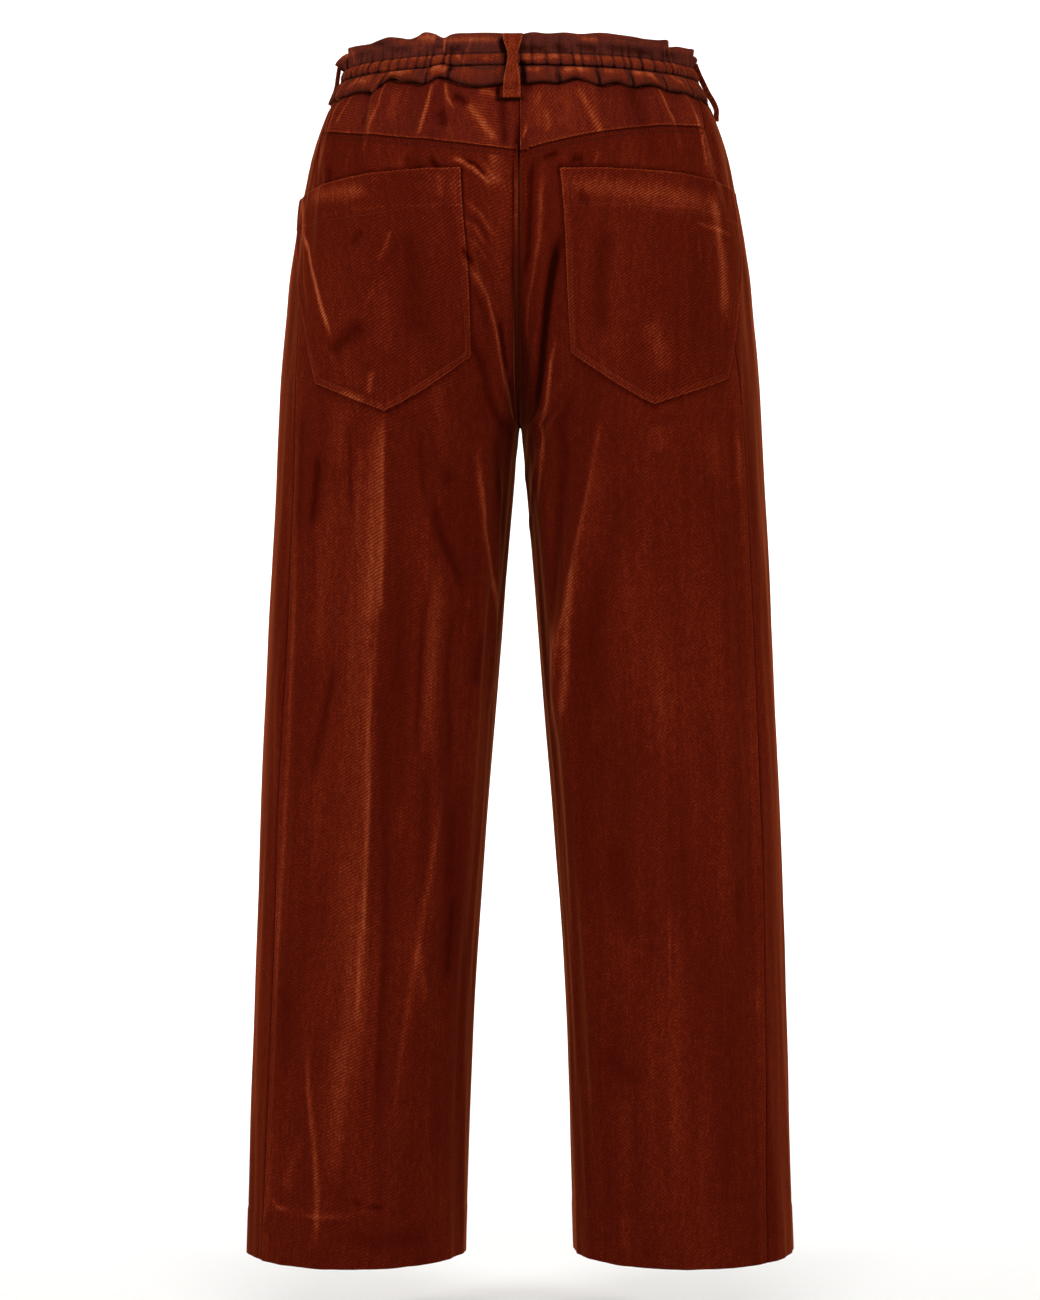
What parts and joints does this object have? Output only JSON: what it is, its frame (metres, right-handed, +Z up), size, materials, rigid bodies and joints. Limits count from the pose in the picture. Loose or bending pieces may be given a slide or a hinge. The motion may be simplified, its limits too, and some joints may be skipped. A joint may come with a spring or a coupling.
{
  "type": "trousers",
  "caption": "Wide straight cropped velvet trousers with a gathered paper-bag waist, a back yoke, pointed patch pockets and belt loops.",
  "frame": {"origin": "centre of the waist at the height of the elastic, where a wearer's waist holds the trousers", "axes": "+Z up through the waist opening, -Y to the front, +X to the wearer's left"},
  "size_m": [0.4538, 0.2541, 0.9945],
  "materials": {
    "velvet_panels": "cut-pile velvet, matte with a soft sheen",
    "velvet_yoke": "cut-pile velvet, matte with a soft sheen",
    "velvet_waistband": "cut-pile velvet, matte with a soft sheen",
    "velvet_pocket": "cut-pile velvet, matte with a soft sheen",
    "velvet_belt_loop": "cut-pile velvet, matte with a soft sheen"
  },
  "bodies": {
    "root": {"back_left": "velvet_panels", "back_right": "velvet_panels", "front_left": "velvet_panels", "front_right": "velvet_panels", "yoke_left": "velvet_yoke", "yoke_right": "velvet_yoke", "waistband": "velvet_waistband", "pocket_left": "velvet_pocket", "pocket_right": "velvet_pocket", "belt_loop_back": "velvet_belt_loop", "belt_loop_left": "velvet_belt_loop", "belt_loop_right": "velvet_belt_loop"}
  },
  "joints": []
}
